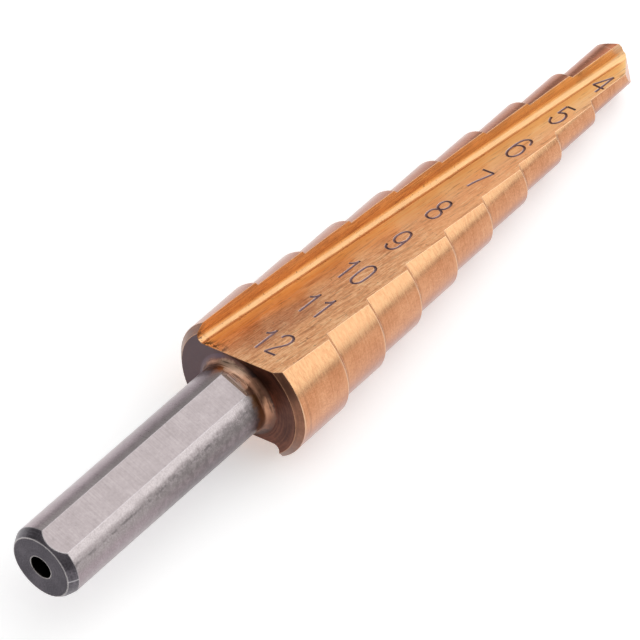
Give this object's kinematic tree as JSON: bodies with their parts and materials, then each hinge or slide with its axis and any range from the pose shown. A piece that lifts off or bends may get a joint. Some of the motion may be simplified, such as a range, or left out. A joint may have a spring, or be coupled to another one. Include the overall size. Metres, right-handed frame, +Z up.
{
  "type": "step drill",
  "caption": "Step drill with a three-flatted shank, two straight flutes and a gold-coated stepped head that opens holes in thin sheet from small to large.",
  "frame": {"origin": "centre of the bounding box, on the bench that the drill lies on", "axes": "+X along the drill from its shank to its point, +Z up; the drill lies on the two edges of its lower flute, so its own axis drops 3.3 degrees towards the point"},
  "size_m": [0.0696, 0.012, 0.0099],
  "materials": {
    "coated_steel": "ground high-speed steel with a copper-gold titanium nitride coat on the head, bare on the shank"
  },
  "bodies": {
    "root": {"step_drill": "coated_steel"}
  },
  "joints": []
}
